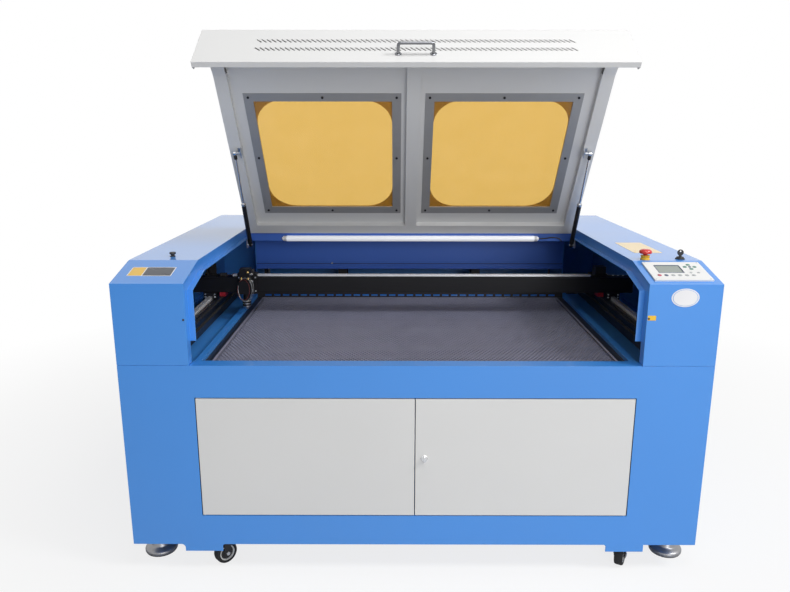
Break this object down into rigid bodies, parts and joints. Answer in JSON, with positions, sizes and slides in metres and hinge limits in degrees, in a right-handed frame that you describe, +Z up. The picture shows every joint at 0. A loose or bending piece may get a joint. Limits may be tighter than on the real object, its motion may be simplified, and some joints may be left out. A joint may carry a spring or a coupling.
{
  "type": "laser cutting machine",
  "caption": "Floor-standing laser cutting machine with a lifting lid, amber windows, gas struts, a travelling gantry over a honeycomb bed, and front doors.",
  "frame": {"origin": "on the floor, below the middle of the machine's bounding box", "axes": "+X to the right as the machine is faced, +Y from the front to the back, +Z up; the front faces -Y"},
  "size_m": [1.86, 1.464, 1.738],
  "materials": {
    "blue_paint": "light blue powder coat, fine texture",
    "deep_blue_paint": "deep blue powder coat",
    "grey_paint": "pale grey powder coat, fine texture",
    "frame_paint": "dark grey paint on steel tube",
    "black_anodised": "black anodised, satin",
    "honeycomb": "dull aluminium honeycomb, soot marked",
    "rail_steel": "ground guide steel",
    "zinc": "zinc plated steel",
    "chrome": "bright plated",
    "satin_aluminium": "satin turned aluminium",
    "belt_rubber": "black toothed belt",
    "wheel_rubber": "black castor tread",
    "red_anodised": "red anodised clamp",
    "lamp_plastic": "milky white diffuser",
    "tube_glass": "clear borosilicate",
    "amber_acrylic": "amber tinted acrylic",
    "white_plastic": "moulded bezel",
    "screen": "grey display glass",
    "yellow_plastic": "yellow collar",
    "red_plastic": "red mushroom head",
    "black_plastic": "black moulded plastic",
    "black_metal": "black paint, satin",
    "grey_metal": "grey enclosure paint"
  },
  "bodies": {
    "base": {"base_frame": "frame_paint", "base_shell": "blue_paint", "rear_panel": "blue_paint", "left_cabinet": "blue_paint", "right_cabinet": "blue_paint", "cross_channel": "deep_blue_paint", "inner_back_wall": "deep_blue_paint", "inner_deck": "blue_paint", "bed_frame": "black_metal", "honeycomb_bed": "honeycomb", "y_rail_beams": "black_metal", "y_guide_rails": "rail_steel", "y_belts": "belt_rubber", "work_lamp": "lamp_plastic", "laser_tube": "tube_glass", "tube_supports": "black_plastic", "y_motor": "black_metal", "control_panel": "white_plastic", "control_screen": "screen", "switch_bodies": "yellow_plastic", "louvre_panels": "blue_paint", "exhaust_ducts": "zinc", "power_inlet": "black_plastic", "electronics": "grey_metal", "castor_mounts": "zinc", "levelling_feet": "zinc", "strut_brackets": "zinc", "hinge_pins": "zinc"},
    "lid": {"lid": "grey_paint", "lid_handle": "chrome", "lid_windows": "amber_acrylic", "window_frames": "zinc", "window_screws": "zinc", "strut_studs": "zinc"},
    "strut_tubes": {"strut_tubes": "black_metal"},
    "strut_rods": {"strut_rods": "chrome"},
    "left_door": {"left_door": "grey_paint"},
    "right_door": {"right_door": "grey_paint"},
    "door_lock": {"door_lock": "chrome"},
    "tube_cover": {"tube_cover": "grey_paint"},
    "gantry": {"gantry_beam": "black_anodised", "gantry_carriages": "black_anodised", "belt_clamps": "red_anodised", "x_guide_rail": "rail_steel", "x_belt": "belt_rubber", "x_motor": "black_metal", "second_mirror": "satin_aluminium"},
    "x_drive_pulley": {"x_drive_pulley": "satin_aluminium"},
    "x_idler_pulley": {"x_idler_pulley": "satin_aluminium"},
    "laser_head": {"laser_head": "black_anodised"},
    "lens_tube": {"lens_tube": "satin_aluminium"},
    "y_drive_shaft": {"y_drive_shaft": "rail_steel"},
    "y_idler_pulleys": {"y_idler_pulleys": "satin_aluminium"},
    "estop_button": {"estop_button": "red_plastic"},
    "key": {"key": "black_plastic"},
    "front_left_fork": {"front_left_fork": "zinc"},
    "front_left_wheel": {"front_left_wheel": "wheel_rubber"},
    "front_right_fork": {"front_right_fork": "zinc"},
    "front_right_wheel": {"front_right_wheel": "wheel_rubber"},
    "rear_wheels": {"rear_wheels": "wheel_rubber"}
  },
  "joints": [
    {"name": "lid_hinge", "type": "hinge", "parent": "base", "child": "lid", "pos_m": [0, 0.214, 0.998], "axis": [1, 0, 0], "range_deg": [0, 54]},
    {"name": "strut_swing", "type": "hinge", "parent": "base", "child": "strut_tubes", "pos_m": [0, 0.132, 0.955], "axis": [1, 0, 0], "range_deg": [0, 60.3]},
    {"name": "strut_slide", "type": "slide", "parent": "strut_tubes", "child": "strut_rods", "axis": [0, -0.4707, 0.8823], "range_m": [-0.0728, 0]},
    {"name": "left_door_hinge", "type": "hinge", "parent": "base", "child": "left_door", "pos_m": [-0.68, -0.713, 0], "axis": [0, 0, 1], "range_deg": [-110, 0]},
    {"name": "right_door_hinge", "type": "hinge", "parent": "base", "child": "right_door", "pos_m": [0.68, -0.713, 0], "axis": [0, 0, 1], "range_deg": [0, 110]},
    {"name": "lock_turn", "type": "hinge", "parent": "right_door", "child": "door_lock", "pos_m": [0.03, -0.718, 0.4075], "axis": [0, 1, 0], "range_deg": [0, 90]},
    {"name": "tube_cover_hinge", "type": "hinge", "parent": "base", "child": "tube_cover", "pos_m": [0, 0.667, 1.009], "axis": [1, 0, 0], "range_deg": [-85, 0]},
    {"name": "gantry_slide", "type": "slide", "parent": "base", "child": "gantry", "axis": [0, 1, 0], "range_m": [-0.54, 0.31]},
    {"name": "head_slide", "type": "slide", "parent": "gantry", "child": "laser_head", "axis": [1, 0, 0], "range_m": [-0.01, 1.27]},
    {"name": "focus_slide", "type": "slide", "parent": "laser_head", "child": "lens_tube", "axis": [0, 0, 1], "range_m": [-0.01, 0.01]},
    {"name": "x_drive_turn", "type": "hinge", "parent": "gantry", "child": "x_drive_pulley", "pos_m": [0.76, 0.014, 0.827], "axis": [0, 0, 1], "range_deg": [-60, 4860]},
    {"name": "x_idler_turn", "type": "hinge", "parent": "gantry", "child": "x_idler_pulley", "pos_m": [-0.76, 0.014, 0.827], "axis": [0, 0, 1], "range_deg": [-60, 4860]},
    {"name": "y_drive_turn", "type": "hinge", "parent": "base", "child": "y_drive_shaft", "pos_m": [0, 0.348, 0.764], "axis": [1, 0, 0], "range_deg": [-1180, 2060]},
    {"name": "y_idler_turn", "type": "hinge", "parent": "base", "child": "y_idler_pulleys", "pos_m": [0, -0.674, 0.764], "axis": [1, 0, 0], "range_deg": [-1180, 2060]},
    {"name": "stop_press", "type": "slide", "parent": "base", "child": "estop_button", "axis": [0, 0, 1], "range_m": [-0.005, 0]},
    {"name": "key_turn", "type": "hinge", "parent": "base", "child": "key", "pos_m": [0.863, -0.516, 1.015], "axis": [0, 0, 1], "range_deg": [0, 90]},
    {"name": "left_castor_swivel", "type": "hinge", "parent": "base", "child": "front_left_fork", "pos_m": [-0.609, -0.639, 0], "axis": [0, 0, 1], "continuous": true},
    {"name": "left_castor_spin", "type": "hinge", "parent": "front_left_fork", "child": "front_left_wheel", "pos_m": [-0.63533, -0.66355, 0.0385], "axis": [0.682, -0.7314, 0], "continuous": true},
    {"name": "right_castor_swivel", "type": "hinge", "parent": "base", "child": "front_right_fork", "pos_m": [0.711, -0.639, 0], "axis": [0, 0, 1], "continuous": true},
    {"name": "right_castor_spin", "type": "hinge", "parent": "front_right_fork", "child": "front_right_wheel", "pos_m": [0.6941, -0.67079, 0.0385], "axis": [0.8829, -0.4695, 0], "continuous": true},
    {"name": "rear_castor_spin", "type": "hinge", "parent": "base", "child": "rear_wheels", "pos_m": [0, 0.557, 0.0385], "axis": [1, 0, 0], "continuous": true}
  ],
  "couplings": [
    {"joint": "strut_swing", "follows": "lid_hinge", "ratio": 1.1142},
    {"joint": "strut_slide", "follows": "lid_hinge", "m_per_rad": -0.076975},
    {"joint": "x_drive_turn", "follows": "head_slide", "rad_per_m": 66.225},
    {"joint": "x_idler_turn", "follows": "head_slide", "rad_per_m": 66.225},
    {"joint": "y_drive_turn", "follows": "gantry_slide", "rad_per_m": -66.225},
    {"joint": "y_idler_turn", "follows": "gantry_slide", "rad_per_m": -66.225}
  ]
}
